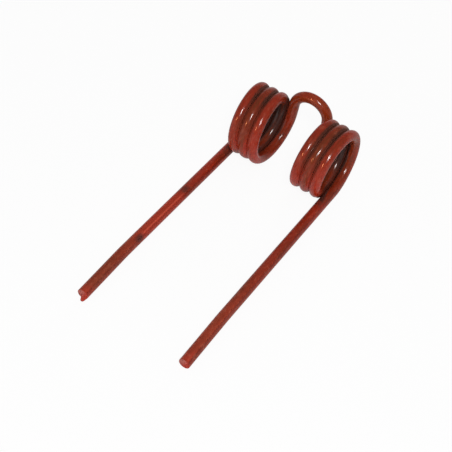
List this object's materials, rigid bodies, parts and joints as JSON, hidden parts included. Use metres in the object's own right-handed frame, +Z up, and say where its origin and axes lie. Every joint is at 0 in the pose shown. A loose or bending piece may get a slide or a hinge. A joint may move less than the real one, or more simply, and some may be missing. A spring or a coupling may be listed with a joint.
{
  "type": "pickup tine",
  "caption": "Pickup tine bent from round spring wire: mirrored close-wound coils joined by a raised bridge loop, each running out into a long straight leg with a slightly turned tip.",
  "frame": {"origin": "on the coils' shared axis, halfway between the two coils", "axes": "+X along the coils' axis, to the right for someone who faces the tips and looks towards the coils; -Y the way the two legs point; +Z up, the side that the bridge loop stands on. The tine lies on the undersides of its coils and its two tips, at z = -19 mm."},
  "size_m": [0.0618, 0.1493, 0.0384],
  "materials": {
    "painted_wire": "glossy deep red paint on round spring wire, worn thin and dark between the coils' turns"
  },
  "bodies": {
    "root": {"tine_wire": "painted_wire"}
  },
  "joints": []
}
